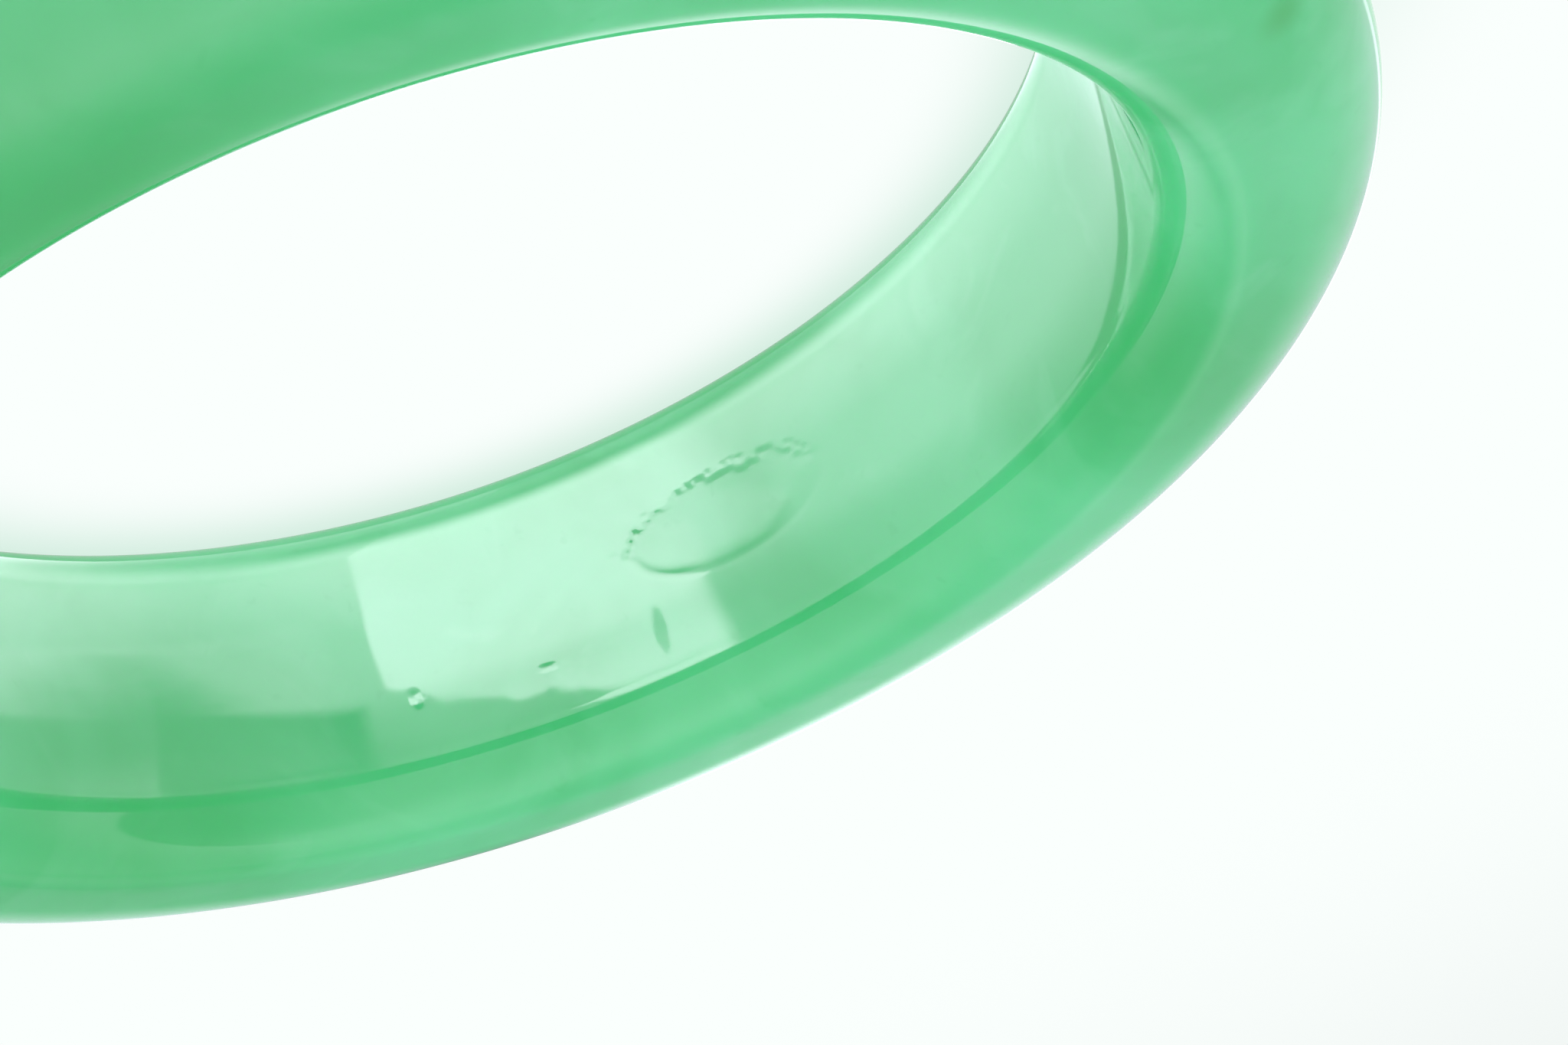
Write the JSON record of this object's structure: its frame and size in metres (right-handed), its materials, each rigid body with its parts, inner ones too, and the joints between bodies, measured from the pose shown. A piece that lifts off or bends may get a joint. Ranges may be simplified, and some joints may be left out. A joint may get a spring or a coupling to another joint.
{
  "type": "bangle bracelet",
  "caption": "Closed round bangle turned from translucent green stone, with a flat inner wall, rounded edges and a domed outer face.",
  "frame": {"origin": "on the axis of the wrist opening, in the plane that the bangle rests on when it lies on its side", "axes": "+Z along the axis of the wrist opening, up from the resting side; X and Y lie in the plane of the ring, which is the same all round"},
  "size_m": [0.0768, 0.0768, 0.017],
  "materials": {
    "green_stone": "polished, translucent"
  },
  "bodies": {
    "root": {"bangle_ring": "green_stone"}
  },
  "joints": []
}
